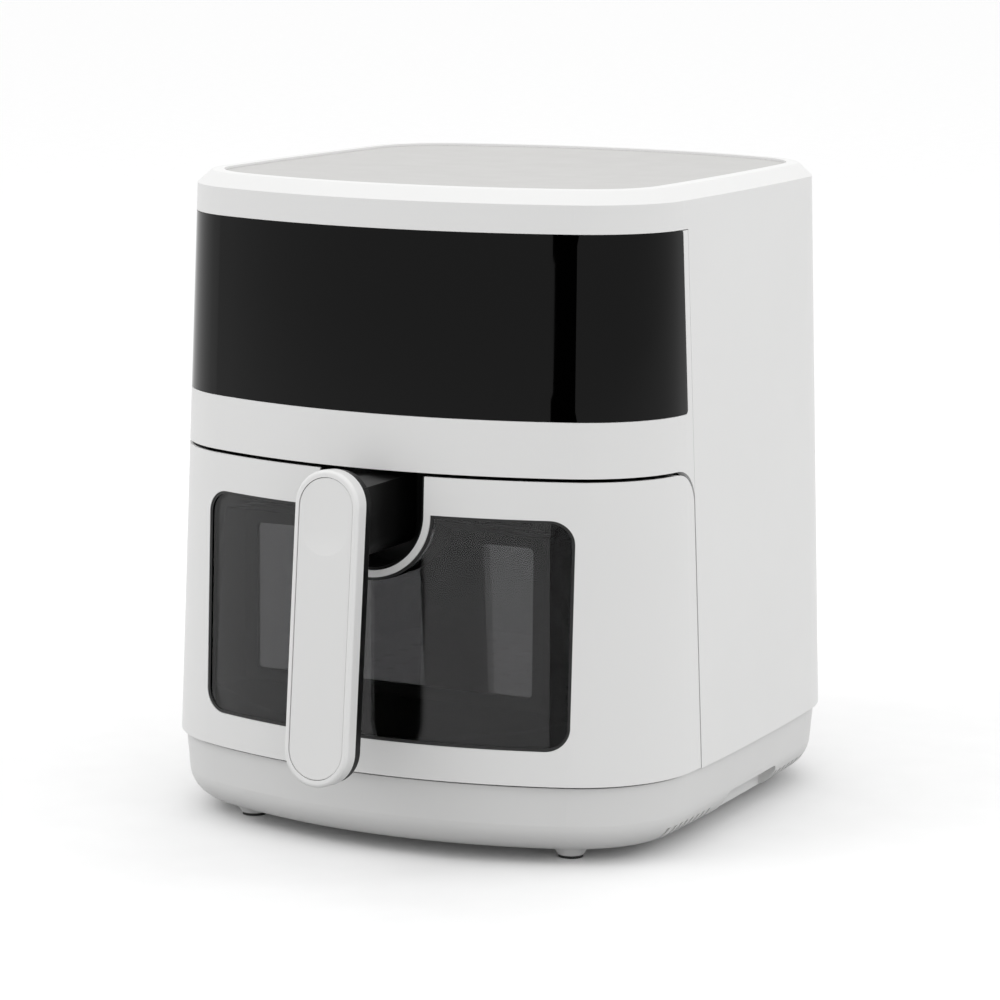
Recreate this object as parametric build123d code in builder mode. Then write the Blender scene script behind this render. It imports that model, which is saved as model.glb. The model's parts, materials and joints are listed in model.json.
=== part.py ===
"""Air fryer with a pull-out pan, a window in the drawer front and a touch display.

Millimetres, +Z up, front towards -Y. The origin is on the floor, at the centre of the
whole object's box; the housing's own middle is body_y behind it because the handle
stands out further at the front than the exhaust grille does at the rear.
"""
from build123d import *
import os
from math import cos, radians, sin, sqrt

# ---------------------------------------------------------------- driving dimensions
# Housing skin: a rounded outline that leans inward as it rises
half_width = 140.0
half_depth = 155.0
end_radius = 265.0
side_radius = 1900.0
corner_radius = 64.0
widest_z = 40.0
lean = 0.034
wall = 2.5
fit_gap = 0.25

# Heights
foot_pad = 1.5
base_z = 6.4
base_top_z = 40.0
shell_z = 40.6
drawer_z = 41.2
drawer_top_z = 186.9
fascia_z = 188.7
panel_z = 215.5
panel_top_z = 303.0
shoulder_z = 316.8
top_z = 323.3
shoulder_in = 7.0

# Front to rear
handle_reach = 205.7
grille_out = 8.0
grille_low, grille_high = 196.0, 262.0
grille_reach = half_depth + grille_out - (grille_low + fit_gap - widest_z) * lean
body_y = (handle_reach - grille_reach) / 2
seam_y = -67.0
seam_lean = 0.0256
seam_gap = 1.2
panel_wrap = 5.5

# Drawer front, window and handle pocket
drawer_wall = 3.0
drawer_corner = 16.0
window_half = 99.3
window_low = 58.0
window_high = 168.7
window_corner = 11.5
pocket_half = 28.0
pocket_z = 168.0
lip = 3.4
inner_half = 75.0
inner_low = 80.0
inner_high = 153.0
inner_mid_z = (inner_low + inner_high) / 2
inner_long_z = inner_high - inner_low

# Handle
handle_tilt = 5.2
handle_width = 33.8
handle_low = 45.0
handle_high = 194.3
handle_mid_z = (handle_low + handle_high) / 2
handle_face_y = -199.1
handle_depth = 8.4
core_depth = 7.2
neck_half = 14.0
neck_screws = (157.0, 175.0)
screw_r = 1.75

# Pan, chamber and crisper
pan_half = 104.0
pan_front = -121.0
pan_rear = 104.0
pan_floor = 46.5
pan_rim = 176.0
pan_wall = 1.2
pan_corner = 20.0
pan_round = 8.0
rim_out = 3.0
chamber_half = 112.0
chamber_front = -63.0
chamber_rear = 116.0
roof_front = -122.0
roof_corner = 28.0
lamp_x, lamp_y = -90.0, -58.0
chamber_floor = 43.5
chamber_top = 190.0
sheet = 1.0
plate_z = 58.0
plate_thick = 2.0

well_half = 109.8
well_front = -126.8
well_corner = 26.0
well_long = 245.0

# Fan, motor and heater, all on the fan axis
shaft_r = 3.0
bush_play = 0.05
shroud_r = 88.0
shroud_top = 229.0
shroud_round = 8.0
rotor_r = 14.7
stator_bore = 15.1
heater_r = 3.2
heater_z = 199.0
fan_r = 44.0

# Door switch and oven sensor
switch_x, switch_z = 119.0, 150.0
sensor_x, sensor_y = 88.0, 92.0


# ---------------------------------------------------------------- shared shapes
def seam_at(height):
    """Rear edge of the front pieces at a height, in the housing's own y."""
    return seam_y - seam_lean * (height - widest_z)


def corner_centre():
    """Centre of a front corner arc, tangent inside the end arc and the side arc."""
    end_y = end_radius - half_depth
    side_x = half_width - side_radius
    reach_end = end_radius - corner_radius
    reach_side = side_radius - corner_radius
    apart = sqrt(side_x ** 2 + end_y ** 2)
    along = (reach_end ** 2 - reach_side ** 2 + apart ** 2) / (2 * apart)
    across = sqrt(reach_end ** 2 - along ** 2)
    ux = side_x / apart
    uy = -end_y / apart
    return along * ux - across * uy, end_y + along * uy + across * ux


def skin_outline(height, inset=0.0):
    """Closed outline of the housing at a height, drawn in from the skin by inset."""
    shrink = inset + (height - widest_z) * lean
    cx, cy = corner_centre()
    end_y = end_radius - half_depth
    side_x = half_width - side_radius
    reach_end = end_radius - corner_radius
    reach_side = side_radius - corner_radius
    radius = corner_radius - shrink
    end_dir = (cx / reach_end, (cy - end_y) / reach_end)
    side_dir = ((cx - side_x) / reach_side, cy / reach_side)
    mid = (end_dir[0] + side_dir[0], end_dir[1] + side_dir[1])
    mid_long = sqrt(mid[0] ** 2 + mid[1] ** 2)
    ex, ey = cx + radius * end_dir[0], cy + radius * end_dir[1]
    sx, sy = cx + radius * side_dir[0], cy + radius * side_dir[1]
    mx, my = cx + radius * mid[0] / mid_long, cy + radius * mid[1] / mid_long
    with BuildSketch(Plane((0, body_y, height))) as outline:
        with BuildLine():
            for s in (-1, 1):
                ThreePointArc((-ex, s * ey), (0, s * (shrink - half_depth)), (ex, s * ey))
                ThreePointArc((s * sx, -sy), (s * (half_width - shrink), 0), (s * sx, sy))
                for e in (-1, 1):
                    ThreePointArc((s * ex, e * ey), (s * mx, e * my), (s * sx, e * sy))
        make_face()
    return outline.sketch


def skin_solid(low, high, inset=0.0):
    """Solid block of the housing's shape between two heights."""
    with BuildPart() as block:
        loft(sections=[skin_outline(low, inset), skin_outline(high, inset)], ruled=True)
    return block.part


def front_plane(y):
    """Upright plane facing the user, at a depth in the housing's own y."""
    return Plane(origin=(0, body_y + y, 0), x_dir=(1, 0, 0), z_dir=(0, -1, 0))


def floor_plane(height, y=0.0):
    """Level plane at a height, centred on the housing."""
    return Plane(origin=(0, body_y + y, height))


def box_solid(x_range, y_range, z_range):
    """Box between limits, with y in the housing's own frame."""
    size = [r[1] - r[0] for r in (x_range, y_range, z_range)]
    middle = [(r[0] + r[1]) / 2 for r in (x_range, y_range, z_range)]
    with BuildPart() as block:
        with Locations((middle[0], body_y + middle[1], middle[2])):
            Box(*size)
    return block.part


def front_zone(low, high, gap, rounding=0.0):
    """Everything in front of the seam, with the upper rear corner rounded in side view."""
    with BuildPart() as zone:
        with BuildSketch(Plane.YZ) as side:
            with BuildLine():
                Polyline(
                    (body_y + seam_at(low) - gap, low),
                    (body_y + seam_at(high) - gap, high),
                    (-2 * half_depth, high),
                    (-2 * half_depth, low),
                    close=True,
                )
            make_face()
            if rounding:
                corner = side.vertices().group_by(Axis.Y)[-1].sort_by(Axis.X)[-1]
                fillet(corner, rounding)
        extrude(amount=half_width + wall, both=True)
    return zone.part


def panel_zone(grow):
    """The display panel's reach round the front, with its rear corners softened."""
    with BuildPart() as zone:
        with BuildSketch(Plane.YZ) as side:
            with BuildLine():
                Polyline(
                    (body_y + seam_at(panel_z) - panel_wrap + grow, panel_z - grow),
                    (body_y + seam_at(panel_top_z) - panel_wrap + grow, panel_top_z + grow),
                    (-2 * half_depth, panel_top_z + grow),
                    (-2 * half_depth, panel_z - grow),
                    close=True,
                )
            make_face()
            fillet(side.vertices().sort_by(Axis.X)[-2:], 2.0)
        extrude(amount=half_width + wall, both=True)
    return zone.part


def pocket_block(radius, near, far, top=drawer_top_z + 2):
    """U-shaped block of the handle pocket between two depths."""
    with BuildPart() as block:
        with BuildSketch(front_plane(far)):
            with Locations((0, pocket_z)):
                Circle(radius)
                Rectangle(2 * radius, radius, align=(Align.CENTER, Align.MIN), mode=Mode.SUBTRACT)
                Rectangle(2 * radius, top - pocket_z, align=(Align.CENTER, Align.MIN))
        extrude(amount=far - near)
    return block.part


def well_block(grow, low, high):
    """Upright block of the drawer's well, round at its corners and open to the rear."""
    with BuildPart() as block:
        with BuildSketch(floor_plane(low, well_front + well_long / 2)):
            RectangleRounded(2 * (well_half + grow), well_long + 2 * grow, well_corner + grow)
        extrude(amount=high - low)
    return block.part


def window_block(shrink, near=-170.0, far=-122.0):
    """Block of the window's outline, less the room of the pocket lip above it."""
    with BuildPart() as block:
        with BuildSketch(front_plane(far)):
            with Locations((0, (window_low + window_high) / 2)):
                RectangleRounded(
                    2 * (window_half - shrink),
                    window_high - window_low - 2 * shrink,
                    window_corner - shrink,
                )
            with Locations((0, pocket_z)):
                Circle(pocket_half + lip + shrink, mode=Mode.SUBTRACT)
        extrude(amount=far - near)
    return block.part


def pin(x, y, z_range, radius):
    """Upright cylinder in the housing's own frame."""
    with BuildPart() as post:
        with BuildSketch(floor_plane(z_range[0])):
            with Locations((x, y)):
                Circle(radius)
        extrude(amount=z_range[1] - z_range[0])
    return post.part


def tube(x, y, z_range, outer, inner):
    """Upright tube in the housing's own frame."""
    with BuildPart() as post:
        add(pin(x, y, z_range, outer))
        add(pin(x, y, (z_range[0] - 1, z_range[1] + 1), inner), mode=Mode.SUBTRACT)
    return post.part


def rounded_slab(half_x, y_range, z_range, corner):
    """Upright-sided slab with rounded corners in plan, in the housing's own frame."""
    with BuildPart() as block:
        with BuildSketch(floor_plane(z_range[0], (y_range[0] + y_range[1]) / 2)):
            RectangleRounded(2 * half_x, y_range[1] - y_range[0], corner)
        extrude(amount=z_range[1] - z_range[0])
    return block.part


def front_plate(y, depth, half_x, z_range, corner, opening=None):
    """Rounded upright plate from a depth towards the user, with an optional rounded opening."""
    with BuildPart() as plate:
        with BuildSketch(front_plane(y)):
            with Locations((0, (z_range[0] + z_range[1]) / 2)):
                RectangleRounded(2 * half_x, z_range[1] - z_range[0], corner)
                if opening:
                    open_x, open_z, open_corner = opening
                    RectangleRounded(2 * open_x, open_z, open_corner, mode=Mode.SUBTRACT)
        extrude(amount=depth)
    return plate.part


def at(x, y, z):
    """Point in the housing's own frame."""
    return (x, body_y + y, z)


def save(piece, name):
    """Label a finished piece and write it to its own file."""
    piece.part.label = name
    export_step(piece.part, "parts/" + name + ".step")


os.makedirs("parts", exist_ok=True)

# ================================================================ HOUSING
# ---------------------------------------------------------------- base
base_in = 2.5
base_flare = 0.12
base_round = 16.0
feet_at = [(sx * 88.0, sy * 108.0) for sx in (-1, 1) for sy in (-1, 1)]
post_at = [(sx * 95.0, sy * 50.0) for sx in (-1, 1) for sy in (-1, 1)]
vent_pitch = 6.36
vent_first = 44.0
vent_count = 8
vent_size = (26.0, 2.6, 7.4)
vent_mid = (127.0, 11.0)
boss_top_r, boss_foot_r = 10.0, 6.6
foot_r = 6.0
post_r = 5.0
lift_low, lift_high = -33.0, 43.0
lift_top = 21.5
lift_slope = 7.0
lift_depth = 15.0
deck_z = (base_top_z - 1.8, base_top_z - 0.3)


def bowl(inset, low, rounding):
    """Tub whose sides flare as they rise, with a rounded lower edge."""
    with BuildPart() as tub:
        foot_inset = inset + (base_top_z - low) * base_flare
        loft(sections=[skin_outline(low, foot_inset), skin_outline(base_top_z, inset)], ruled=True)
        fillet(tub.faces().sort_by(Axis.Z)[0].edges(), rounding)
    return tub.part


def side_plane(side, depth):
    """Upright plane facing outwards at one side, a depth in from the widest skin."""
    origin = (side * (half_width - depth), body_y, 0)
    return Plane(origin=origin, x_dir=(0, side, 0), z_dir=(side, 0, 0))


def lift_block(side, depth, inset, rounding):
    """Finger recess in one lower side of the base, arched at its top corners."""
    with BuildPart() as block:
        with BuildSketch(side_plane(side, depth)) as s:
            with BuildLine():
                Polyline(
                    (side * (lift_low + inset), -1),
                    (side * (lift_low + lift_slope + inset), lift_top - inset),
                    (side * (lift_high - inset), lift_top - inset),
                    (side * (lift_high - inset), -1),
                    close=True,
                )
            make_face()
            fillet(s.vertices().group_by(Axis.Y)[-1], rounding)
        extrude(amount=depth + 5)
    return block.part


def lift_skin(side):
    """Wall round one finger recess, kept inside the bowl."""
    with BuildPart() as block:
        add(lift_block(side, lift_depth + 2 * wall, 0, 6.0))
        add(bowl(base_in + fit_gap, base_z, base_round), mode=Mode.INTERSECT)
    return block.part


def deck_block(high):
    """Plate under the drawer front, let into the top of the bowl's wall."""
    with BuildPart() as plate:
        add(skin_solid(deck_z[0], high, base_in + 1.2))
        add(front_zone(0, high, 1.5), mode=Mode.INTERSECT)
    return plate.part


def locating_lip():
    """Upstand behind the seam that centres the side shell on the base."""
    outer = wall + 2 * fit_gap
    with BuildPart() as ring:
        add(skin_solid(base_top_z - 4, base_top_z + 4, outer))
        add(skin_solid(base_top_z - 5, base_top_z + 5, outer + 2), mode=Mode.SUBTRACT)
        add(front_zone(0, 100, -6), mode=Mode.SUBTRACT)
    return ring.part


with BuildPart() as base_housing:
    add(bowl(base_in, base_z, base_round))
    add(bowl(base_in + wall, base_z + wall, base_round - wall), mode=Mode.SUBTRACT)
    for side in (-1, 1):
        add(lift_skin(side))
    for side in (-1, 1):
        add(lift_block(side, lift_depth, wall, 4.5), mode=Mode.SUBTRACT)
    # Air inlet slots through the lower side edges
    for side in (-1, 1):
        for end in (-1, 1):
            for k in range(vent_count):
                slot_y = end * (vent_first + k * vent_pitch)
                with Locations((side * vent_mid[0], body_y + slot_y, vent_mid[1])):
                    Box(*vent_size, mode=Mode.SUBTRACT)
    # Foot bosses, posts under the chamber and the locating lip behind the seam
    for x, y in feet_at:
        with BuildSketch(floor_plane(base_z + 1)):
            with Locations((x, y)):
                Circle(boss_top_r)
        with BuildSketch(floor_plane(foot_pad)):
            with Locations((x, y)):
                Circle(boss_foot_r)
        loft()
    for x, y in post_at:
        add(pin(x, y, (base_z + 1, chamber_floor - sheet), post_r))
    add(locating_lip())
    add(deck_block(base_top_z + 1), mode=Mode.SUBTRACT)
save(base_housing, "base_housing")

with BuildPart() as base_deck:
    add(deck_block(deck_z[1]))
save(base_deck, "base_deck")

with BuildPart() as rubber_feet:
    for x, y in feet_at:
        with BuildSketch(floor_plane(0)):
            with Locations((x, y)):
                Circle(foot_r)
        extrude(amount=foot_pad)
save(rubber_feet, "rubber_feet")

# ---------------------------------------------------------------- side shell and top
rim_width = 6.0
rim_z = top_z - 5.0
grille_half = 58.0
gland_x, gland_z = 40.0, 64.0
gland_r = 8.0

with BuildPart() as side_shell:
    add(skin_solid(shell_z, shoulder_z))
    loft(sections=[skin_outline(shoulder_z), skin_outline(top_z, shoulder_in)], ruled=True)
    fillet(side_shell.faces().sort_by(Axis.Z)[-1].edges(), 1.6)
    add(skin_solid(shell_z - 1, rim_z - 4, wall), mode=Mode.SUBTRACT)
    add(skin_solid(rim_z - 5, rim_z, shoulder_in + 1), mode=Mode.SUBTRACT)
    add(skin_solid(rim_z - 1, top_z + 1, shoulder_in + rim_width), mode=Mode.SUBTRACT)
    add(front_zone(0, panel_top_z + fit_gap, 0), mode=Mode.SUBTRACT)
    add(
        box_solid((-grille_half, grille_half), (100, 180), (grille_low, grille_high)),
        mode=Mode.SUBTRACT,
    )
    with BuildSketch(front_plane(180)):
        with Locations((gland_x, gland_z)):
            Circle(gland_r + fit_gap)
    extrude(amount=80, mode=Mode.SUBTRACT)
save(side_shell, "side_shell")

with BuildPart() as top_panel:
    add(skin_solid(rim_z - 2, top_z - 1.2, shoulder_in + rim_width + fit_gap))
    add(skin_solid(rim_z - 2.2, rim_z - fit_gap, shoulder_in + 2))
    # Very shallow dish in the middle of the top
    dish_radius = 5000.0
    with Locations((0, body_y, top_z - 2.6 + dish_radius)):
        Sphere(dish_radius, mode=Mode.SUBTRACT)
    add(skin_solid(rim_z - 3, rim_z + 1.0, shoulder_in + rim_width + 4), mode=Mode.SUBTRACT)
save(top_panel, "top_panel")

# ---------------------------------------------------------------- front fascia and display
fascia_wall = 4.6
panel_thick = 2.2


def panel_seat():
    """Step in the fascia that the display panel sits in."""
    with BuildPart() as block:
        add(panel_zone(fit_gap))
        add(skin_solid(panel_z - 5, panel_top_z + 5, panel_thick + fit_gap), mode=Mode.SUBTRACT)
    return block.part


with BuildPart() as front_fascia:
    add(skin_solid(fascia_z - 25, panel_top_z - fit_gap))
    add(skin_solid(fascia_z + 2.2, panel_top_z + 1, fascia_wall), mode=Mode.SUBTRACT)
    add(front_zone(fascia_z - 26, panel_top_z + 2, fit_gap), mode=Mode.INTERSECT)
    add(skin_solid(fascia_z - 30, fascia_z, fascia_wall), mode=Mode.SUBTRACT)
    add(
        front_zone(0, fascia_z, 0, drawer_corner + seam_gap),
        mode=Mode.SUBTRACT,
    )
    # Room for the chamber roof behind the lower fascia
    roof_y = (roof_front - 1.5, 100)
    roof_room = rounded_slab(chamber_half + 1.5, roof_y, (fascia_z - 1, panel_z), roof_corner + 1.5)
    add(roof_room, mode=Mode.SUBTRACT)
    add(panel_seat(), mode=Mode.SUBTRACT)
save(front_fascia, "front_fascia")

with BuildPart() as display_panel:
    add(skin_solid(panel_z - 5, panel_top_z + 5))
    add(skin_solid(panel_z - 6, panel_top_z + 6, panel_thick), mode=Mode.SUBTRACT)
    add(panel_zone(0), mode=Mode.INTERSECT)
save(display_panel, "display_panel")

board_y = -118.0
with BuildPart() as display_board:
    add(box_solid((-95, 95), (board_y, board_y + 1.6), (232, 296)))
    for row in (246, 264, 282):
        for k in range(-4, 5):
            add(box_solid((k * 18 - 2, k * 18 + 2), (board_y - 1.5, board_y), (row - 2, row + 2)))
    add(box_solid((-12, 12), (board_y + 1.6, board_y + 4), (255, 275)))
save(display_board, "display_board")

# ---------------------------------------------------------------- front frame and chamber
with BuildPart() as front_frame:
    add(skin_solid(drawer_z, drawer_top_z, wall + fit_gap))
    add(box_solid((-200, 200), (-66, -63), (0, 300)), mode=Mode.INTERSECT)
    inside = (-chamber_half, chamber_half)
    add(box_solid(inside, (-70, -60), (chamber_floor, 300)), mode=Mode.SUBTRACT)
    # Guide for the interlock plunger
    with BuildSketch(front_plane(-60)):
        with Locations((switch_x, switch_z)):
            Circle(2.3)
    extrude(amount=10, mode=Mode.SUBTRACT)
save(front_frame, "front_frame")

with BuildPart() as chamber:
    chamber_high = chamber_top - chamber_floor
    with BuildSketch(front_plane(chamber_rear + sheet)):
        with Locations((0, (chamber_floor + chamber_top) / 2)):
            RectangleRounded(2 * (chamber_half + sheet), chamber_high + 2 * sheet, 6.0 + sheet)
    extrude(amount=chamber_rear + sheet - chamber_front)
    with BuildSketch(front_plane(chamber_rear)):
        with Locations((0, (chamber_floor + chamber_top) / 2)):
            RectangleRounded(2 * chamber_half, chamber_high, 6.0)
    extrude(amount=chamber_rear - chamber_front + 1, mode=Mode.SUBTRACT)
    # The roof reaches forward over the pan
    roof_level = (chamber_top, chamber_top + sheet)
    add(rounded_slab(chamber_half, (roof_front, chamber_rear), roof_level, roof_corner))
    add(pin(0, 0, (chamber_top - 1, chamber_top + 2), shroud_r - 2), mode=Mode.SUBTRACT)
    for x, y, r in ((sensor_x, sensor_y, 2.7), (lamp_x, lamp_y, 12.5)):
        add(pin(x, y, (chamber_top - 1, chamber_top + 2), r), mode=Mode.SUBTRACT)
save(chamber, "chamber")

with BuildPart() as drawer_runners:
    for side in (-1, 1):
        x_low = side * 86 - 5
        add(box_solid((x_low, x_low + 10), (chamber_front + 1, 100), (chamber_floor, pan_floor - 0.4)))
    chamfer(drawer_runners.faces().sort_by(Axis.Y)[:2].edges().group_by(Axis.Z)[-1], 1.2)
save(drawer_runners, "drawer_runners")

# ---------------------------------------------------------------- fan shroud, heater and guard
elbow = 8.0
leg_top = shroud_top + 9
turn_radii = (50.0, 57.0, 64.0, 71.0)
heater_legs = [(50.0, -elbow), (78.0, elbow)]
bush_outer = 6.0
duct_half = 45.0
duct_low, duct_high = 197.0, 225.0


def dome(low, high, radius, rounding):
    """Upright can on the fan axis, rounded round its top edge."""
    with BuildPart() as can:
        add(pin(0, 0, (low, high), radius))
        fillet(can.faces().sort_by(Axis.Z)[-1].edges(), rounding)
    return can.part


with BuildPart() as fan_shroud:
    add(dome(chamber_top + sheet, shroud_top, shroud_r + sheet, shroud_round))
    add(dome(chamber_top, shroud_top - sheet, shroud_r, shroud_round - sheet), mode=Mode.SUBTRACT)
    add(pin(0, 0, (shroud_top - 5, shroud_top + 5), shaft_r + 1.5), mode=Mode.SUBTRACT)
    duct_room = (duct_low, duct_high - 2)
    add(box_solid((-duct_half, duct_half), (70, 130), duct_room), mode=Mode.SUBTRACT)
    for x, y in heater_legs:
        add(pin(x, y, (shroud_top - 5, shroud_top + 5), bush_outer + 0.1), mode=Mode.SUBTRACT)
    # Mounting flange on the chamber roof
    add(tube(0, 0, (chamber_top + sheet, chamber_top + 2 * sheet), shroud_r + 8, shroud_r))
save(fan_shroud, "fan_shroud")

with BuildPart() as heating_element:
    # Flat spiral of half turns whose centres step sideways, with a bent leg up at each end
    dip = elbow * (1 - sqrt(0.5))
    with BuildLine() as tube_path:
        x_now = 50.0
        Line(at(x_now, -elbow, leg_top), at(x_now, -elbow, heater_z + elbow))
        ThreePointArc(
            at(x_now, -elbow, heater_z + elbow),
            at(x_now, dip - elbow, heater_z + dip),
            at(x_now, 0, heater_z),
        )
        for k, radius in enumerate(turn_radii):
            way = 1 if k % 2 == 0 else -1
            x_mid = x_now - way * radius
            x_next = x_mid - way * radius
            ThreePointArc(
                at(x_now, 0, heater_z),
                at(x_mid, way * radius, heater_z),
                at(x_next, 0, heater_z),
            )
            x_now = x_next
        ThreePointArc(
            at(x_now, 0, heater_z),
            at(x_now, elbow - dip, heater_z + dip),
            at(x_now, elbow, heater_z + elbow),
        )
        Line(at(x_now, elbow, heater_z + elbow), at(x_now, elbow, leg_top))
    with BuildSketch(Plane(origin=at(50.0, -elbow, leg_top), z_dir=(0, 0, -1))):
        Circle(heater_r)
    sweep(path=tube_path.wire())
save(heating_element, "heating_element")

with BuildPart() as heater_bushes:
    for x, y in heater_legs:
        add(tube(x, y, (shroud_top - 3, shroud_top + 5), bush_outer, heater_r))
        add(tube(x, y, (shroud_top, shroud_top + 3), bush_outer + 2, heater_r))
save(heater_bushes, "heater_bushes")

guard_z = 187.0
guard_reach = 91.0
with BuildPart() as heater_guard:
    for radius in (18, 30, 42, 54, 66, 78):
        with BuildSketch(floor_plane(guard_z)):
            Circle(radius + 0.9)
            Circle(radius - 0.9, mode=Mode.SUBTRACT)
        extrude(amount=1.8)
    for k in range(4):
        with BuildSketch(floor_plane(guard_z)):
            Rectangle(2 * guard_reach, 1.8, rotation=45 * k)
        extrude(amount=1.8)
    for k in range(8):
        turn = radians(45 * k)
        add(pin(guard_reach * cos(turn), guard_reach * sin(turn), (guard_z, chamber_top), 3.0))
    with BuildSketch(floor_plane(guard_z)):
        Circle(8.0)
    extrude(amount=1.8)
save(heater_guard, "heater_guard")

# ---------------------------------------------------------------- motor, fixed pieces
stator_z = (244.0, 268.0)
bracket_low_z = 236.0
bracket_high_z = 276.0
bush_r = 7.0
motor_feet = [(24.0, -34.0), (24.0, 34.0), (-24.0, -34.0), (-24.0, 34.0)]

with BuildPart() as motor_stator:
    with BuildSketch(floor_plane(stator_z[0])):
        RectangleRounded(64, 56, 4)
        Circle(stator_bore, mode=Mode.SUBTRACT)
    extrude(amount=stator_z[1] - stator_z[0])
    # Window that the coil is wound through
    add(box_solid((-26, -19), (-16, 16), (stator_z[0] - 1, stator_z[1] + 1)), mode=Mode.SUBTRACT)
save(motor_stator, "motor_stator")

with BuildPart() as motor_coil:
    add(box_solid((-42, -19.3), (-15.7, 15.7), (stator_z[0] - 6, stator_z[1] + 6)))
    fillet(motor_coil.edges().filter_by(Axis.Y), 4.0)
    add(box_solid((-32, -26), (-28, 28), stator_z), mode=Mode.SUBTRACT)
save(motor_coil, "motor_coil")

with BuildPart() as motor_brackets:
    for z_low in (bracket_low_z, bracket_high_z):
        add(box_solid((-14, 14), (-42, 42), (z_low, z_low + 2)))
        add(pin(0, 0, (z_low - 3, z_low + 5), bush_r + 2))
        add(pin(0, 0, (z_low - 4, z_low + 6), bush_r), mode=Mode.SUBTRACT)
    for end in (-1, 1):
        y_low = end * 41 - 1
        add(box_solid((-14, 14), (y_low, y_low + 2), (shroud_top, bracket_high_z + 2)))
        foot_low = end * 47 - 7
        add(box_solid((-14, 14), (foot_low, foot_low + 14), (shroud_top, shroud_top + 2)))
save(motor_brackets, "motor_brackets")

with BuildPart() as motor_bushes:
    for z_low in (bracket_low_z, bracket_high_z):
        with BuildSketch(floor_plane(z_low - 3)):
            Circle(bush_r)
            Circle(shaft_r + bush_play, mode=Mode.SUBTRACT)
        extrude(amount=8)
save(motor_bushes, "motor_bushes")

# ---------------------------------------------------------------- electrics
board_z = 237.0
board_x = (-122.0, -66.0)
board_ends = (-52.0, 58.0)

with BuildPart() as power_board:
    add(box_solid(board_x, board_ends, (board_z, board_z + 1.6)))
    for x in (board_x[0] + 5, board_x[1] - 5):
        for y in (board_ends[0] + 5, board_ends[1] - 5):
            add(pin(x, y, (board_z - 5, board_z), 3.0))
            add(pin(x, y, (board_z - 6, board_z + 2), 1.3), mode=Mode.SUBTRACT)
save(power_board, "power_board")

part_z = board_z + 1.6
with BuildPart() as board_transformer:
    add(box_solid((-112, -80), (20, 46), (part_z, part_z + 26)))
    fillet(board_transformer.edges().filter_by(Axis.Z), 3.0)
save(board_transformer, "board_transformer")

with BuildPart() as board_relay:
    add(box_solid((-116, -97), (-10, 6), (part_z, part_z + 15)))
    chamfer(board_relay.faces().sort_by(Axis.Z)[-1].edges(), 1.0)
save(board_relay, "board_relay")

with BuildPart() as board_capacitors:
    for x, y in ((-106, -28), (-84, -28), (-84, 4)):
        add(pin(x, y, (part_z, part_z + 20), 7.0))
    fillet(board_capacitors.faces().sort_by(Axis.Z)[-3:].edges(), 1.0)
save(board_capacitors, "board_capacitors")

with BuildPart() as buzzer:
    add(pin(-97, -43, (part_z, part_z + 7), 6.0))
    add(pin(-97, -43, (part_z + 5, part_z + 8), 1.2), mode=Mode.SUBTRACT)
save(buzzer, "buzzer")

with BuildPart() as temperature_sensor:
    add(pin(sensor_x, sensor_y, (179, chamber_top + 14), 2.5))
    add(pin(sensor_x, sensor_y, (chamber_top + sheet, chamber_top + sheet + 4), 6.0))
    fillet(temperature_sensor.faces().sort_by(Axis.Z)[0].edges(), 1.5)
save(temperature_sensor, "temperature_sensor")

with BuildPart() as thermal_fuse:
    add(box_solid((-8, 8), (60, 74), (shroud_top, shroud_top + 5)))
    fillet(thermal_fuse.edges().filter_by(Axis.Z), 3.0)
save(thermal_fuse, "thermal_fuse")

with BuildPart() as chamber_lamp:
    add(pin(lamp_x, lamp_y, (chamber_top + 16, chamber_top + 34), 9.0))
    add(pin(lamp_x, lamp_y, (chamber_top + 3, chamber_top + 16), 6.0))
    fillet(chamber_lamp.faces().sort_by(Axis.Z)[0].edges(), 4.0)
save(chamber_lamp, "chamber_lamp")

with BuildPart() as lamp_lens:
    add(pin(lamp_x, lamp_y, (chamber_top - 3, chamber_top), 15.0))
    add(pin(lamp_x, lamp_y, (chamber_top, chamber_top + 1), 12.3))
    fillet(lamp_lens.faces().sort_by(Axis.Z)[0].edges(), 1.5)
save(lamp_lens, "lamp_lens")

with BuildPart() as interlock_switch:
    add(box_solid((116, 125), (-62.6, -44), (switch_z - 9, switch_z + 9)))
    with BuildSketch(front_plane(-50)):
        with Locations((switch_x, switch_z)):
            Circle(2.1)
    extrude(amount=20, mode=Mode.SUBTRACT)
    chamfer(interlock_switch.edges().filter_by(Axis.Z), 0.6)
save(interlock_switch, "interlock_switch")

with BuildPart() as interlock_plunger:
    with BuildSketch(front_plane(-54)):
        with Locations((switch_x, switch_z)):
            Circle(2.03)
    extrude(amount=16.6)
    fillet(interlock_plunger.faces().sort_by(Axis.Y)[0].edges(), 0.8)
save(interlock_plunger, "interlock_plunger")

# ---------------------------------------------------------------- rear
duct_reach = 140.0
with BuildPart() as air_duct:
    duct_room = (duct_half - sheet, duct_high - duct_low - 2 * sheet, 4.0)
    duct_long = duct_reach - shroud_r - 3
    add(front_plate(duct_reach, duct_long, duct_half, (duct_low, duct_high), 5.0, duct_room))
save(air_duct, "air_duct")

grille_z = (grille_low + fit_gap, grille_high - fit_gap)
grille_x = grille_half - fit_gap
slat_count = 7
slat_pitch = 8.0


def grille_block(inset):
    """Block of the grille's outside, following the rear skin, drawn in by inset."""
    low, high = grille_z[0] + inset, grille_z[1] - inset
    with BuildPart() as block:
        add(skin_solid(low, high, inset - grille_out))
        edge = grille_x - inset
        add(box_solid((-edge, edge), (100, 200), (low, high)), mode=Mode.INTERSECT)
    return block.part


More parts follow.
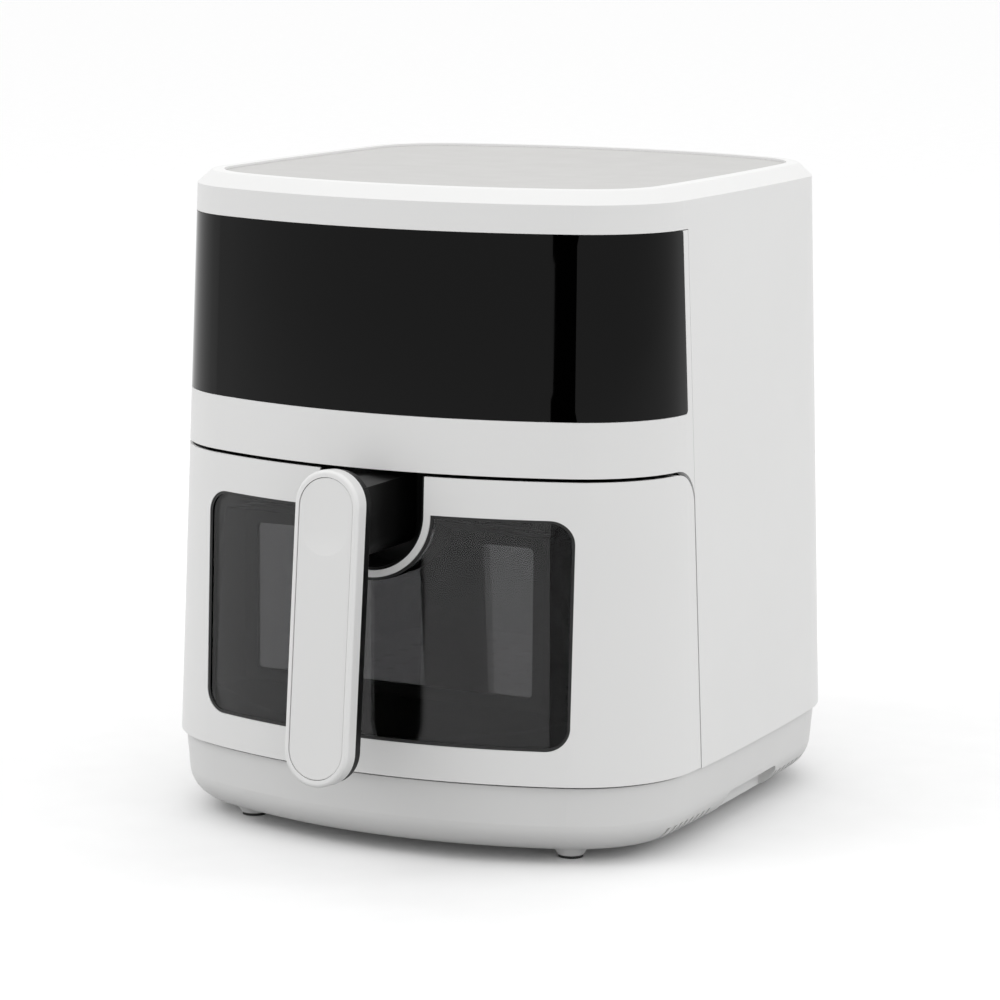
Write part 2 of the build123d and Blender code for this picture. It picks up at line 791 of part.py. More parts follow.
with BuildPart() as exhaust_grille:
    add(grille_block(0))
    fillet(exhaust_grille.edges().filter_by(Axis.Y), 5.0)
    add(skin_solid(grille_z[0] - 1, grille_z[1] + 1, wall + 1), mode=Mode.SUBTRACT)
    add(grille_block(3), mode=Mode.SUBTRACT)
    slat_x = grille_x - 7
    for k in range(slat_count):
        slat_z = grille_z[0] + 8.5 + k * slat_pitch
        slot = (slat_z - 2, slat_z + 2)
        add(box_solid((-slat_x, slat_x), (145, 170), slot), mode=Mode.SUBTRACT)
save(exhaust_grille, "exhaust_grille")

gland_bore = 3.6


def gland_disc(radius, near, far):
    """Disc on the gland's axis between two depths."""
    with BuildPart() as disc:
        with BuildSketch(front_plane(far)):
            with Locations((gland_x, gland_z)):
                Circle(radius)
        extrude(amount=far - near)
    return disc.part


def rear_wall():
    """Rear skin near the gland, with the gland's hole through it."""
    with BuildPart() as sheet_wall:
        add(skin_solid(gland_z - 20, gland_z + 20))
        add(skin_solid(gland_z - 21, gland_z + 21, wall), mode=Mode.SUBTRACT)
        add(gland_disc(gland_r, 100, 200), mode=Mode.SUBTRACT)
    return sheet_wall.part


with BuildPart() as cord_gland:
    # The gland stands square to the fan axis and grips the rear wall with a groove
    add(gland_disc(gland_r, 142, 156))
    add(gland_disc(gland_r + 3, 145, 148))
    add(gland_disc(gland_r + 3, 150.5, 154))
    add(gland_disc(gland_bore, 120, 160), mode=Mode.SUBTRACT)
    add(rear_wall(), mode=Mode.SUBTRACT)
save(cord_gland, "cord_gland")

# ---------------------------------------------------------------- screws in the housing
with BuildPart() as bracket_screws:
    for x in (-9, 9):
        for y in (-50, 50):
            add(pin(x, y, (shroud_top + 2, shroud_top + 4), 3.0))
save(bracket_screws, "bracket_screws")

with BuildPart() as board_screws:
    for x in (board_x[0] + 5, board_x[1] - 5):
        for y in (board_ends[0] + 5, board_ends[1] - 5):
            add(pin(x, y, (part_z, part_z + 1.8), 2.6))
            add(pin(x, y, (board_z - 4, part_z + 0.5), 1.2))
save(board_screws, "board_screws")

# ================================================================ DRAWER
cap_in = 1.3
cap_thick = 1.4


def drawer_hollow():
    """Room inside the drawer front's walls."""
    high = drawer_top_z - drawer_wall
    with BuildPart() as room:
        add(skin_solid(drawer_z + drawer_wall, high, drawer_wall))
        rear = seam_gap + drawer_wall
        add(front_zone(0, high, rear, drawer_corner - drawer_wall), mode=Mode.INTERSECT)
    return room.part


def pocket_lip():
    """White lip round the handle pocket, trimmed to the skin."""
    with BuildPart() as ring:
        add(pocket_block(pocket_half + lip, -170, -134))
        add(skin_solid(100, drawer_top_z), mode=Mode.INTERSECT)
    return ring.part


def cap_block(high):
    """Plate let into the flat top of the drawer front, behind its front edge."""
    with BuildPart() as plate:
        add(skin_solid(drawer_top_z - cap_thick, high, cap_in))
        add(front_zone(0, high, seam_gap + drawer_corner), mode=Mode.INTERSECT)
    return plate.part


with BuildPart() as drawer_front:
    add(skin_solid(drawer_z, drawer_top_z))
    add(front_zone(0, drawer_top_z, seam_gap, drawer_corner), mode=Mode.INTERSECT)
    add(drawer_hollow(), mode=Mode.SUBTRACT)
    add(well_block(0, drawer_z + drawer_wall, 300), mode=Mode.SUBTRACT)
    add(window_block(0), mode=Mode.SUBTRACT)
    add(pocket_lip())
    add(pocket_block(pocket_half + 0.1, -180, well_front), mode=Mode.SUBTRACT)
    add(cap_block(drawer_top_z + 1), mode=Mode.SUBTRACT)
save(drawer_front, "drawer_front")

with BuildPart() as drawer_cap:
    add(cap_block(drawer_top_z))
    add(well_block(0, drawer_z + drawer_wall, 300), mode=Mode.SUBTRACT)
    add(pocket_block(pocket_half + 0.1, -180, well_front), mode=Mode.SUBTRACT)
save(drawer_cap, "drawer_cap")

glass_in = 1.1
glass_thick = 3.0
gasket_w = 1.5

with BuildPart() as window_gasket:
    add(skin_solid(drawer_z, drawer_top_z, 0.5))
    add(skin_solid(drawer_z - 1, drawer_top_z + 1, glass_in + glass_thick), mode=Mode.SUBTRACT)
    add(window_block(0.08), mode=Mode.INTERSECT)
    add(window_block(gasket_w), mode=Mode.SUBTRACT)
save(window_gasket, "window_gasket")

with BuildPart() as window_glass:
    add(skin_solid(drawer_z, drawer_top_z, glass_in))
    add(skin_solid(drawer_z - 1, drawer_top_z + 1, glass_in + glass_thick), mode=Mode.SUBTRACT)
    add(window_block(gasket_w + 0.02), mode=Mode.INTERSECT)
save(window_glass, "window_glass")


funnel_over = 6.0
funnel_flare = 95.0


def funnel_block(grow):
    """Square funnel that narrows from the window to the inner glass."""
    small_z = inner_long_z + 2 * (funnel_over + grow)
    large_z = window_high - window_low + 2 * grow
    with BuildPart() as block:
        with BuildSketch(front_plane(-127)):
            with Locations((0, inner_mid_z)):
                RectangleRounded(2 * (inner_half + funnel_over + grow), small_z, 4)
        with BuildSketch(front_plane(-152)):
            with Locations((0, (window_low + window_high) / 2)):
                RectangleRounded(2 * (inner_half + funnel_flare + grow), large_z, 8)
        loft()
    return block.part


def notch_block():
    """Part of the funnel's room that lies round the handle pocket."""
    with BuildPart() as block:
        add(pocket_block(pocket_half + lip + 1.9, -180, -120, 250))
        add(funnel_block(0.5), mode=Mode.INTERSECT)
    return block.part


with BuildPart() as window_surround:
    add(funnel_block(1.5))
    add(funnel_block(0), mode=Mode.SUBTRACT)
    add(notch_block())
    add(skin_solid(drawer_z, drawer_top_z, drawer_wall + 1.8), mode=Mode.INTERSECT)
    add(pocket_block(pocket_half + lip + 0.4, -180, -120, 250), mode=Mode.SUBTRACT)
save(window_surround, "window_surround")

liner_thick = 1.5
with BuildPart() as drawer_liner:
    add(well_block(-0.2, drawer_z + drawer_wall, 172))
    add(well_block(-0.2 - liner_thick, 0, 300), mode=Mode.SUBTRACT)
    add(box_solid((-200, 200), (-200, -72.5), (0, 300)), mode=Mode.INTERSECT)
    around = (inner_low - 10, inner_high + 10)
    add(front_plate(-110, 30, inner_half + 10, around, 9.0), mode=Mode.SUBTRACT)
save(drawer_liner, "drawer_liner")

with BuildPart() as handle_pocket:
    pocket_back = well_front - 0.3
    add(pocket_block(pocket_half, -170, pocket_back, drawer_top_z - 0.4))
    add(pocket_block(pocket_half - 1.4, -171, pocket_back - 1.6, drawer_top_z + 3), mode=Mode.SUBTRACT)
    add(skin_solid(100, drawer_top_z + 3, 1.2), mode=Mode.INTERSECT)
    with BuildSketch(front_plane(pocket_back + 1)):
        with Locations((0, neck_screws[0]), (0, neck_screws[1])):
            Circle(screw_r + 0.1)
    extrude(amount=4, mode=Mode.SUBTRACT)
save(handle_pocket, "handle_pocket")

# ---------------------------------------------------------------- pan

def pan_tub(inset, low, high):
    """Tub of the pan's plan shape, rounded round its floor."""
    with BuildPart() as tub:
        y_range = (pan_front + inset, pan_rear - inset)
        add(rounded_slab(pan_half - inset, y_range, (low, high), pan_corner - inset))
        fillet(tub.faces().sort_by(Axis.Z)[0].edges(), pan_round - inset)
    return tub.part


with BuildPart() as pan:
    add(pan_tub(0, pan_floor, pan_rim))
    rim_y = (pan_front - rim_out, pan_rear + rim_out)
    add(rounded_slab(pan_half + rim_out, rim_y, (pan_rim - 1.5, pan_rim), pan_corner + rim_out))
    add(pan_tub(pan_wall, pan_floor + pan_wall, pan_rim + 10), mode=Mode.SUBTRACT)
    add(front_plate(-110, 20, inner_half, (inner_low, inner_high), 3.0), mode=Mode.SUBTRACT)
save(pan, "pan")

glass_over = 4.0
pane_z = (inner_low - glass_over, inner_high + glass_over)
frame_over = 8.0
frame_z = (inner_low - frame_over, inner_high + frame_over)

with BuildPart() as inner_seal:
    seal_hole = (inner_half + 1, inner_long_z + 2, 3.0)
    add(front_plate(pan_front, 0.8, inner_half + glass_over, pane_z, 4.0, seal_hole))
save(inner_seal, "inner_seal")

with BuildPart() as inner_glass:
    add(front_plate(pan_front - 0.8, 2.6, inner_half + glass_over, pane_z, 4.0))
save(inner_glass, "inner_glass")

with BuildPart() as inner_frame:
    pane_room = (inner_half + glass_over + 0.2, inner_long_z + 2 * glass_over + 0.4, 4.0)
    add(front_plate(pan_front, 3.4, inner_half + frame_over, frame_z, 5.0, pane_room))
    view_hole = (inner_half, inner_long_z, 2.5)
    add(front_plate(pan_front - 3.4, 1.4, inner_half + frame_over, frame_z, 5.0, view_hole))
    fillet(inner_frame.faces().sort_by(Axis.Y)[0].outer_wire().edges(), 0.8)
save(inner_frame, "inner_frame")

# ---------------------------------------------------------------- handle
face_normal = (0, -cos(radians(handle_tilt)), sin(radians(handle_tilt)))


def handle_plane(depth):
    """Plane of the handle, leaning out at its foot, at a depth behind its face."""
    centre = Vector(0, body_y + handle_face_y, handle_mid_z) - Vector(*face_normal) * depth
    return Plane(origin=centre, x_dir=(1, 0, 0), z_dir=face_normal)


handle_long = (handle_high - handle_low) / cos(radians(handle_tilt))
rim_in = 2.5
end_rim = 1.0
inset_thick = 2.4
seat_depth = inset_thick + 0.7
hollow_in = 3.0
core_in = 0.6


def handle_slot(depth, inset, thick, ends=0.0):
    """Slab of the handle's outline, drawn in by inset, from a depth towards its face."""
    with BuildPart() as slab:
        with BuildSketch(handle_plane(depth)):
            slot_long = handle_long - 2 * (inset + ends)
            SlotOverall(slot_long, handle_width - 2 * inset, rotation=90)
        extrude(amount=thick)
    return slab.part


with BuildPart() as handle_cover:
    add(handle_slot(handle_depth, 0, handle_depth))
    fillet(handle_cover.faces().filter_by(GeomType.PLANE).sort_by(Axis.Y)[0].edges(), 2.0)
    add(handle_slot(seat_depth, rim_in, 2 * seat_depth, end_rim), mode=Mode.SUBTRACT)
    add(handle_slot(handle_depth, hollow_in, handle_depth - seat_depth - 2), mode=Mode.SUBTRACT)
save(handle_cover, "handle_cover")

with BuildPart() as handle_inset:
    add(handle_slot(seat_depth, rim_in + 0.2, inset_thick + 0.4, end_rim))
    fillet(handle_inset.faces().filter_by(GeomType.PLANE).sort_by(Axis.Y)[0].edges(), 0.5)
save(handle_inset, "handle_inset")

neck_back = well_front - 2.1
neck_long = 55.0
neck_roof = (182.0, 185.2, 186.4)
with BuildPart() as handle_core:
    add(handle_slot(handle_depth + core_depth, core_in, core_depth))
    fillet(handle_core.faces().filter_by(GeomType.PLANE).sort_by(Axis.Y)[-1].edges(), 1.5)
    add(handle_slot(handle_depth, hollow_in + 0.4, handle_depth - seat_depth - 2.4))
    # Neck into the pocket, with a creased roof and a rounded underside
    with BuildSketch(front_plane(neck_back)):
        with Locations((0, 162)):
            RectangleRounded(2 * neck_half, 24, 9)
        with Locations((0, 173.4)):
            Rectangle(2 * neck_half, 17.2)
        with BuildLine():
            Polyline(
                (-neck_half, neck_roof[0]),
                (-neck_half, neck_roof[1]),
                (0, neck_roof[2]),
                (neck_half, neck_roof[1]),
                (neck_half, neck_roof[0]),
                close=True,
            )
        make_face()
    extrude(amount=neck_long)
    with BuildSketch(front_plane(neck_back + 1)):
        with Locations((0, neck_screws[0]), (0, neck_screws[1])):
            Circle(screw_r + 0.05)
    extrude(amount=16, mode=Mode.SUBTRACT)
save(handle_core, "handle_core")

with BuildPart() as handle_screws:
    for z in neck_screws:
        with BuildSketch(front_plane(neck_back)):
            with Locations((0, z)):
                Circle(screw_r)
        extrude(amount=13)
        with BuildSketch(front_plane(pocket_back + 0.2)):
            with Locations((0, z)):
                Circle(screw_r)
        extrude(amount=3)
save(handle_screws, "handle_screws")

# ================================================================ CRISPER PLATE
crisper_half = 98.0
crisper_mid = (pan_front + pan_rear) / 2
with BuildPart() as crisper_plate:
    with BuildSketch(floor_plane(plate_z, crisper_mid)):
        RectangleRounded(2 * crisper_half, 2 * crisper_half + 14, 17)
        with GridLocations(15, 15, 11, 12):
            Circle(3.6, mode=Mode.SUBTRACT)
    extrude(amount=plate_thick)
save(crisper_plate, "crisper_plate")

with BuildPart() as crisper_feet:
    for sx in (-1, 1):
        for sy in (-1, 1):
            x = sx * (crisper_half - 15.5)
            y = crisper_mid + sy * (crisper_half - 8.0)
            add(pin(x, y, (pan_floor + pan_wall + 0.3, plate_z), 5.0))
save(crisper_feet, "crisper_feet")

# ================================================================ FAN AND ROTOR
with BuildPart() as motor_shaft:
    add(pin(0, 0, (201, 302), shaft_r))
    chamfer(motor_shaft.faces().sort_by(Axis.Z)[-1].edges(), 0.5)
save(motor_shaft, "motor_shaft")

with BuildPart() as motor_rotor:
    with BuildSketch(floor_plane(stator_z[0] - 1)):
        Circle(rotor_r)
        Circle(shaft_r, mode=Mode.SUBTRACT)
    extrude(amount=stator_z[1] - stator_z[0] + 2)
save(motor_rotor, "motor_rotor")

with BuildPart() as convection_fan:
    add(pin(0, 0, (219.6, 220.6), fan_r))
    add(pin(0, 0, (212, 222), 8.0))
    for k in range(12):
        with BuildSketch(floor_plane(206)):
            with PolarLocations(0.65 * fan_r, 1, start_angle=30 * k):
                Rectangle(0.62 * fan_r, 1.0, rotation=28)
        extrude(amount=13.6)
    add(pin(0, 0, (200, 230), shaft_r), mode=Mode.SUBTRACT)
save(convection_fan, "convection_fan")

with BuildPart() as fan_nut:
    with BuildSketch(floor_plane(206)):
        RegularPolygon(6.5, 6)
    extrude(amount=6)
    add(pin(0, 0, (204, 213), shaft_r), mode=Mode.SUBTRACT)
save(fan_nut, "fan_nut")

with BuildPart() as cooling_fan:
    add(pin(0, 0, (285, 297), 9.0))
    for k in range(7):
        angle = 360 / 7 * k
        blade_plane = Plane(
            origin=(30 * cos(radians(angle)), body_y + 30 * sin(radians(angle)), 291),
            x_dir=(cos(radians(angle)), sin(radians(angle)), 0),
            z_dir=(-sin(radians(angle)) * 0.5, cos(radians(angle)) * 0.5, 0.866),
        )
        with BuildSketch(blade_plane):
            Rectangle(44, 18)
        extrude(amount=0.6, both=True)
    add(pin(0, 0, (280, 300), shaft_r), mode=Mode.SUBTRACT)
save(cooling_fan, "cooling_fan")
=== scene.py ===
"""Looks of the windowed air fryer: camera, light and materials. Lengths are in metres."""
import json
import math

import bpy
from mathutils import Matrix, Vector


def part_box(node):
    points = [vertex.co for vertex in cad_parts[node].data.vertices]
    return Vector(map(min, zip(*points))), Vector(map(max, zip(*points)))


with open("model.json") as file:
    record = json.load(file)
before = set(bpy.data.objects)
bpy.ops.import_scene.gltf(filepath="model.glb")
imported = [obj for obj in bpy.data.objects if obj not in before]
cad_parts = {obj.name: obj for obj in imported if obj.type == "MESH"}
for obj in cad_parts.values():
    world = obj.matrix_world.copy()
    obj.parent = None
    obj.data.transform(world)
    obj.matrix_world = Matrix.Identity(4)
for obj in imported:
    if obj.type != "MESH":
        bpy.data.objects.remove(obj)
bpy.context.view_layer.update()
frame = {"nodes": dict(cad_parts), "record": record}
nodes = frame["nodes"]

# The housing's own middle lies a little behind the frame's origin
BODY_Y = (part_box("drawer_front")[0].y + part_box("side_shell")[1].y) / 2

# ---------------------------------------------------------------- camera
CAMERA_AT = Vector((0.8221, BODY_Y - 1.69148, 0.47138))
CAMERA_RIGHT = Vector((0.89782, 0.44029, 0.00822))
CAMERA_UP = Vector((-0.08116, 0.14709, 0.98579))
CAMERA_LENS = 133.85

# ---------------------------------------------------------------- light levels
SKY = 1.04
UNDER = 0.38
SIDE_POWER = 15.0
TOP_POWER = 16.0
SIDE_LIGHT_AT = (2.8, -0.1, 1.8)
TOP_LIGHT_AT = (-1.6, -1.7, 2.4)
SOFT_BOX = (1.6, 1.4)

# ---------------------------------------------------------------- studio sizes
FLOOR_RADIUS = 14.0
FLOOR_SHADE = 0.95
UNDER_DROP = 0.002
# The unlit gap: its direction and half width in degrees, its foot and its reach
GAP_TURN = 19.5
GAP_HALF = 5.5
GAP_FOOT = Vector((0.093, BODY_Y - 0.133, 0.003))
GAP_NEAR = 0.25
GAP_FAR = 3.4
GAP_HIGH = 3.0

# ---------------------------------------------------------------- surface detail
FINE_GRAIN = 2600.0
GRAIN_DEPTH = 0.00004
BRUSH_DEPTH = 0.00005
PEEL_DEPTH = 0.0001
# Thumb dimple in the handle's inset: heights of its two arc centres, radius and depth
DIMPLE_LOW = 0.1665
DIMPLE_HIGH = 0.2
DIMPLE_RADIUS = 0.0125
DIMPLE_DEPTH = 0.0007


def make_camera():
    """Long-lens camera a little above the object, to its right."""
    data = bpy.data.cameras.new("camera")
    data.lens = CAMERA_LENS
    data.sensor_width = 36.0
    data.clip_end = 100.0
    camera = bpy.data.objects.new("camera", data)
    right = CAMERA_RIGHT.normalized()
    up = (CAMERA_UP - right * CAMERA_UP.dot(right)).normalized()
    back = right.cross(up)
    turn = Matrix((right, up, back)).transposed().to_4x4()
    camera.matrix_world = Matrix.Translation(CAMERA_AT) @ turn
    bpy.context.scene.collection.objects.link(camera)
    bpy.context.scene.camera = camera


# ---------------------------------------------------------------- light and floor
def area_light(name, at, towards, size, power):
    """Rectangular soft light that looks at a point."""
    data = bpy.data.lights.new(name, "AREA")
    data.shape = "RECTANGLE"
    data.size, data.size_y = size
    data.energy = power
    light = bpy.data.objects.new(name, data)
    light.location = at
    light.rotation_euler = (Vector(towards) - Vector(at)).to_track_quat("-Z", "Y").to_euler()
    light.visible_glossy = False
    bpy.context.scene.collection.objects.link(light)


def stage_mesh(name, corners, faces, paint):
    """Piece of the studio, which is not part of the object."""
    mesh = bpy.data.meshes.new(name)
    mesh.from_pydata(corners, [], faces)
    piece = bpy.data.objects.new(name, mesh)
    bpy.context.scene.collection.objects.link(piece)
    mesh.materials.append(paint)
    return piece


def disc(radius, height, count=96):
    """Corners of a level disc and its one face."""
    turns = [2 * math.pi * k / count for k in range(count)]
    ring = [(radius * math.cos(t), radius * math.sin(t), height) for t in turns]
    return ring, [tuple(range(count))]


def make_studio():
    """White surround, pale floor, soft lights and one narrow dark gap between the reflections."""
    scene = bpy.context.scene
    scene.view_settings.view_transform = "Standard"
    scene.view_settings.look = "None"
    world = bpy.data.worlds.new("studio")
    world.use_nodes = True
    background = world.node_tree.nodes["Background"]
    background.inputs["Color"].default_value = (1.0, 1.0, 1.0, 1.0)
    background.inputs["Strength"].default_value = SKY
    scene.world = world
    area_light("side_light", SIDE_LIGHT_AT, (0, 0, 0.25), SOFT_BOX, SIDE_POWER)
    area_light("top_light", TOP_LIGHT_AT, (0, 0, 0.3), SOFT_BOX, TOP_POWER)

    # The floor shows white; the light it throws back up comes from the greyer sheet under it
    paper = floor_paint("floor_paper", FLOOR_SHADE)
    floor = stage_mesh("floor", *disc(FLOOR_RADIUS, 0.0), paper)
    floor.visible_diffuse = False
    floor.visible_shadow = False
    sheet = floor_paint("floor_under", UNDER)
    under = stage_mesh("floor_under", *disc(FLOOR_RADIUS, -UNDER_DROP), sheet)
    under.visible_camera = False
    under.visible_glossy = False
    under.visible_transmission = False
    under.visible_shadow = False

    # The unlit gap between two soft boxes, which glossy fronts show as a dark upright band
    turn = math.radians(GAP_TURN)
    half = math.tan(math.radians(GAP_HALF))
    across = Vector((math.cos(turn), math.sin(turn), 0))
    ahead = Vector((math.sin(turn), -math.cos(turn), 0))

    def edge(far, height):
        """Both ends of one line across the gap."""
        middle = GAP_FOOT + ahead * far + Vector((0, 0, height))
        return [tuple(middle + across * (s * half * far)) for s in (-1, 1)]

    corners = edge(GAP_NEAR, 0) + edge(GAP_FAR, 0) + edge(GAP_FAR, GAP_HIGH)
    gap = stage_mesh("studio_gap", corners, [(0, 1, 3, 2), (2, 3, 5, 4)], gap_paint())
    gap.visible_camera = False
    gap.visible_diffuse = False
    gap.visible_transmission = False
    gap.visible_shadow = False


# ---------------------------------------------------------------- materials
def new_material(name):
    """Empty node material with its Principled shader."""
    paint = bpy.data.materials.new(name)
    paint.use_nodes = True
    return paint, paint.node_tree, paint.node_tree.nodes["Principled BSDF"]


def add_node(tree, kind, **values):
    """Node of a kind with inputs and properties set by name."""
    node = tree.nodes.new(kind)
    for key, value in values.items():
        if key in node.inputs:
            node.inputs[key].default_value = value
        else:
            setattr(node, key, value)
    return node


def noise(tree, scale, detail=3.0, rough=0.5, stretch=(1, 1, 1)):
    """Noise in object space, in features per metre."""
    where = tree.nodes.new("ShaderNodeTexCoord")
    fit = tree.nodes.new("ShaderNodeMapping")
    fit.inputs["Scale"].default_value = stretch
    tree.links.new(where.outputs["Object"], fit.inputs["Vector"])
    made = add_node(tree, "ShaderNodeTexNoise", Scale=scale, Detail=detail, Roughness=rough)
    tree.links.new(fit.outputs["Vector"], made.inputs["Vector"])
    return made


def spread(tree, source, low, high):
    """Maps a 0 to 1 signal to a range."""
    fit = tree.nodes.new("ShaderNodeMapRange")
    fit.inputs["From Min"].default_value = 0.3
    fit.inputs["From Max"].default_value = 0.7
    fit.inputs["To Min"].default_value = low
    fit.inputs["To Max"].default_value = high
    tree.links.new(source, fit.inputs["Value"])
    return fit.outputs["Result"]


def tint(tree, source, dark, light):
    """Colour that moves between two shades with a 0 to 1 signal."""
    ramp = tree.nodes.new("ShaderNodeValToRGB")
    ramp.color_ramp.elements[0].position = 0.3
    ramp.color_ramp.elements[0].color = (*dark, 1)
    ramp.color_ramp.elements[1].position = 0.7
    ramp.color_ramp.elements[1].color = (*light, 1)
    tree.links.new(source, ramp.inputs["Fac"])
    return ramp.outputs["Color"]


def bumped(tree, shader, source, strength, distance):
    """Fine relief on a shader."""
    bump = tree.nodes.new("ShaderNodeBump")
    bump.inputs["Strength"].default_value = strength
    bump.inputs["Distance"].default_value = distance
    tree.links.new(source, bump.inputs["Height"])
    tree.links.new(bump.outputs["Normal"], shader.inputs["Normal"])


def moulded(name, colour, roughness, texture=0.12, grain=FINE_GRAIN, gloss=0.5):
    """Moulded plastic: faint flow shading, uneven sheen and a fine spark-eroded texture."""
    paint, tree, shader = new_material(name)
    flow = noise(tree, 9.0, 2.0)
    dark = tuple(c * 0.985 for c in colour)
    tree.links.new(tint(tree, flow.outputs["Fac"], dark, colour), shader.inputs["Base Color"])
    sheen = noise(tree, 60.0, 4.0)
    tree.links.new(
        spread(tree, sheen.outputs["Fac"], roughness * 0.92, roughness * 1.08),
        shader.inputs["Roughness"],
    )
    shader.inputs["Specular IOR Level"].default_value = gloss
    fine = noise(tree, grain, 2.0)
    bumped(tree, shader, fine.outputs["Fac"], texture, GRAIN_DEPTH)
    return paint


def link_math(tree, kind, *terms):
    """Math node over sockets and numbers."""
    node = add_node(tree, "ShaderNodeMath", operation=kind)
    for slot, term in zip(node.inputs, terms):
        if isinstance(term, (int, float)):
            slot.default_value = term
        else:
            tree.links.new(term, slot)
    return node.outputs["Value"]


def add_dimple(paint, low, high, radius, depth):
    """Shallow thumb scoop between two heights, a parabola across its round outline."""
    tree = paint.node_tree
    shader = tree.nodes["Principled BSDF"]
    where = tree.nodes.new("ShaderNodeTexCoord")
    split = tree.nodes.new("ShaderNodeSeparateXYZ")
    tree.links.new(where.outputs["Object"], split.inputs["Vector"])
    nearest = link_math(tree, "MINIMUM", link_math(tree, "MAXIMUM", split.outputs["Z"], low), high)
    below = link_math(tree, "SUBTRACT", split.outputs["Z"], nearest)
    squares = [link_math(tree, "MULTIPLY", side, side) for side in (split.outputs["X"], below)]
    reach = link_math(tree, "DIVIDE", link_math(tree, "ADD", *squares), radius * radius)
    scoop = add_node(tree, "ShaderNodeBump", Strength=1.0, Distance=depth)
    tree.links.new(link_math(tree, "MINIMUM", reach, 1.0), scoop.inputs["Height"])
    fine = shader.inputs["Normal"].links[0].from_node
    tree.links.new(scoop.outputs["Normal"], fine.inputs["Normal"])


def black_glass(name, colour, ior):
    """Polished black glass with the faintest haze of handling."""
    paint, tree, shader = new_material(name)
    haze = noise(tree, 26.0, 5.0, 0.6)
    tree.links.new(spread(tree, haze.outputs["Fac"], 0.02, 0.035), shader.inputs["Roughness"])
    tree.links.new(
        tint(tree, haze.outputs["Fac"], tuple(c * 0.9 for c in colour), colour),
        shader.inputs["Base Color"],
    )
    shader.inputs["IOR"].default_value = ior
    return paint


def clear_glass(name, colour, roughness=0.004, ior=1.45):
    """Thin tinted glass that lets light straight through."""
    paint, tree, shader = new_material(name)
    haze = noise(tree, 22.0, 5.0, 0.6)
    tree.links.new(
        tint(tree, haze.outputs["Fac"], tuple(c * 0.97 for c in colour), colour),
        shader.inputs["Base Color"],
    )
    tree.links.new(
        spread(tree, haze.outputs["Fac"], roughness * 0.7, roughness * 1.3),
        shader.inputs["Roughness"],
    )
    shader.inputs["Transmission Weight"].default_value = 1.0
    shader.inputs["IOR"].default_value = ior
    return paint


def metal(name, colour, roughness, brush=(1, 1, 40), grain=90.0, metallic=1.0):
    """Sheet or drawn metal with a directional grain and handling marks."""
    paint, tree, shader = new_material(name)
    streak = noise(tree, grain, 4.0, 0.6, brush)
    dark = tuple(c * 0.86 for c in colour)
    tree.links.new(tint(tree, streak.outputs["Fac"], dark, colour), shader.inputs["Base Color"])
    tree.links.new(
        spread(tree, streak.outputs["Fac"], roughness * 0.8, roughness * 1.2),
        shader.inputs["Roughness"],
    )
    shader.inputs["Metallic"].default_value = metallic
    bumped(tree, shader, streak.outputs["Fac"], 0.15, BRUSH_DEPTH)
    return paint


def coating(name, colour, fleck):
    """Non-stick coating: dark, satin, with fine pale flecks."""
    paint, tree, shader = new_material(name)
    speckle = noise(tree, 1400.0, 1.0)
    flecks = tree.nodes.new("ShaderNodeValToRGB")
    flecks.color_ramp.elements[0].position = 0.66
    flecks.color_ramp.elements[0].color = (*colour, 1)
    flecks.color_ramp.elements[1].position = 0.74
    flecks.color_ramp.elements[1].color = (*fleck, 1)
    tree.links.new(speckle.outputs["Fac"], flecks.inputs["Fac"])
    tree.links.new(flecks.outputs["Color"], shader.inputs["Base Color"])
    wear = noise(tree, 30.0, 4.0)
    tree.links.new(spread(tree, wear.outputs["Fac"], 0.3, 0.42), shader.inputs["Roughness"])
    orange_peel = noise(tree, 500.0, 2.0)
    bumped(tree, shader, orange_peel.outputs["Fac"], 0.2, PEEL_DEPTH)
    return paint


def floor_paint(name, shade):
    """Pale seamless paper."""
    paint, tree, shader = new_material(name)
    fibre = noise(tree, 40.0, 5.0)
    dark = (shade * 0.985,) * 3
    tree.links.new(
        tint(tree, fibre.outputs["Fac"], dark, (shade,) * 3),
        shader.inputs["Base Color"],
    )
    shader.inputs["Roughness"].default_value = 0.9
    shader.inputs["Specular IOR Level"].default_value = 0.1
    return paint


def gap_paint():
    """Unlit black cloth."""
    paint, tree, shader = new_material("gap_cloth")
    weave = noise(tree, 300.0)
    tree.links.new(
        tint(tree, weave.outputs["Fac"], (0.0, 0.0, 0.0), (0.001, 0.001, 0.001)),
        shader.inputs["Base Color"],
    )
    shader.inputs["Roughness"].default_value = 1.0
    shader.inputs["Specular IOR Level"].default_value = 0.0
    return paint


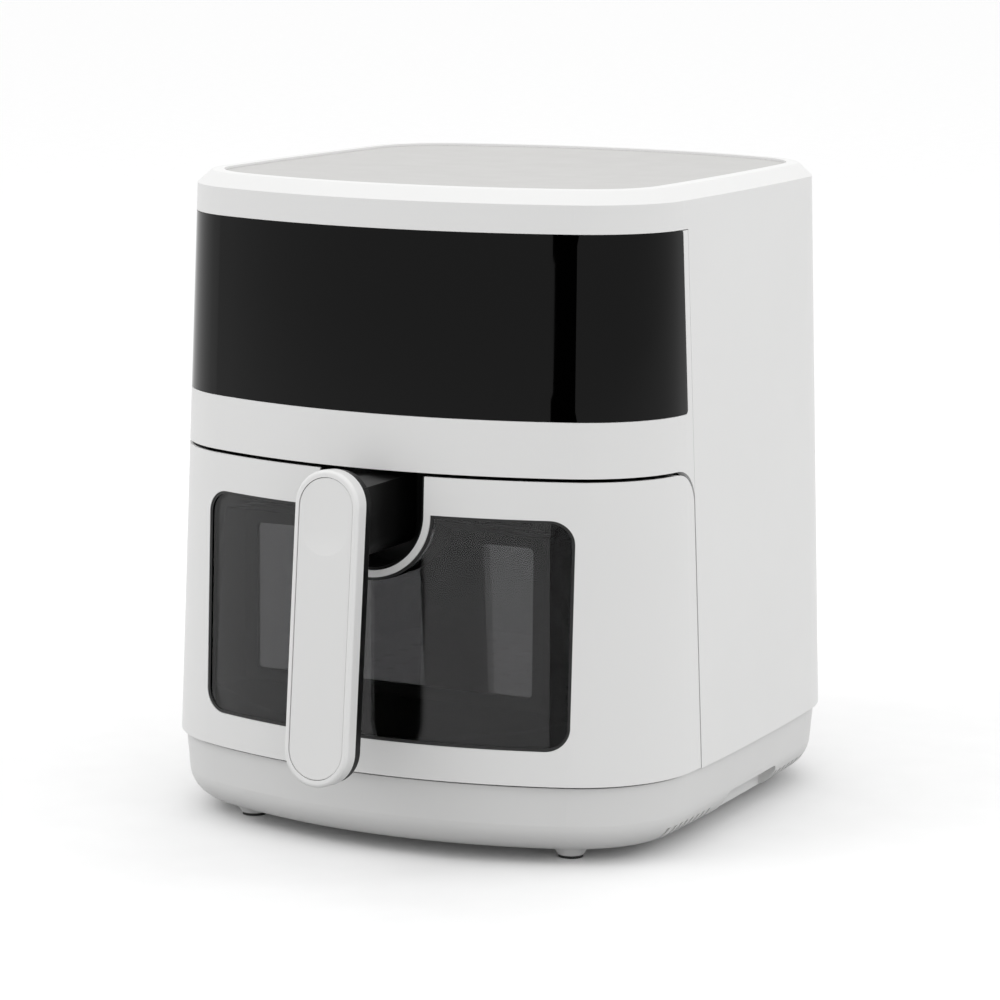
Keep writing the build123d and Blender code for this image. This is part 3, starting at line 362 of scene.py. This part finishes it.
WHITE = (0.79, 0.79, 0.785)
paints = {
    "white_shell": moulded("shell_white", WHITE, 0.42, 0.14),
    # The base's colour is greyer than the shell white: painted shade for the dimmer light low down
    # near the floor
    "white_base": moulded("base_white_painted_shade", (0.735, 0.735, 0.73), 0.45, 0.14),
    # The top's colour is darkened well below the shell white: painted shade that holds back the
    # stronger light falling on the upward face
    "top_grey": moulded("top_white_painted_shade", (0.515, 0.51, 0.5), 0.5, 0.2),
    "inset_white": moulded("inset_white", (0.765, 0.765, 0.76), 0.4, 0.08),
    "display_black": black_glass("display_black", (0.0002, 0.0002, 0.0002), 1.245),
    "smoked_glass": clear_glass("smoked_glass", (0.70, 0.70, 0.71), 0.004, 1.33),
    # The inner pane is tinted nearly black: painted shade that hides the pan and stands in for the
    # unlit chamber behind it
    "inner_glass": clear_glass("inner_glass", (0.04, 0.04, 0.04), 0.004, 1.85),
    "lamp_glass": clear_glass("lamp_glass", (0.9, 0.9, 0.88), 0.25),
    "black_plastic": moulded("black_plastic", (0.003, 0.003, 0.003), 0.38, 0.12, FINE_GRAIN, 0.16),
    "dark_plastic": moulded("dark_plastic", (0.003, 0.003, 0.003), 0.5, 0.2, FINE_GRAIN, 0.05),
    "seal_rubber": moulded("seal_rubber", (0.006, 0.006, 0.006), 0.5, 0.3, 1200.0),
    "foot_rubber": moulded("foot_rubber", (0.02, 0.02, 0.02), 0.8, 0.4, 900.0),
    "pan_coating": coating("pan_coating", (0.035, 0.035, 0.037), (0.16, 0.16, 0.16)),
    "sheet_steel": metal("sheet_steel", (0.62, 0.62, 0.61), 0.35),
    "heater_tube": metal("heater_tube", (0.16, 0.15, 0.14), 0.5),
    "steel": metal("steel", (0.66, 0.66, 0.65), 0.25),
    "aluminium": metal("aluminium", (0.78, 0.78, 0.78), 0.32),
    "copper_coil": metal("copper_coil", (0.62, 0.25, 0.1), 0.35, (1, 1, 8), 900.0),
    "bronze": metal("bronze", (0.62, 0.43, 0.2), 0.4),
    "board_green": moulded("board_green", (0.02, 0.14, 0.05), 0.35, 0.3, 700.0),
    "component_black": moulded("component_black", (0.02, 0.02, 0.02), 0.5, 0.3),
    "component_blue": moulded("component_blue", (0.03, 0.1, 0.38), 0.35, 0.2),
    "ceramic": moulded("ceramic", (0.82, 0.8, 0.74), 0.7, 0.4, 800.0),
    "plunger_white": moulded("plunger_white", (0.8, 0.8, 0.78), 0.4, 0.1),
}


add_dimple(paints["inset_white"], DIMPLE_LOW, DIMPLE_HIGH, DIMPLE_RADIUS, DIMPLE_DEPTH)


def paint_nodes():
    """Every carried CAD node gets the procedural material of its slot."""
    for entry in frame["record"]["subparts"]:
        mesh = nodes[entry["node"]].data
        mesh.materials.clear()
        mesh.materials.append(paints[entry["material_slot"]])


make_camera()
make_studio()
paint_nodes()
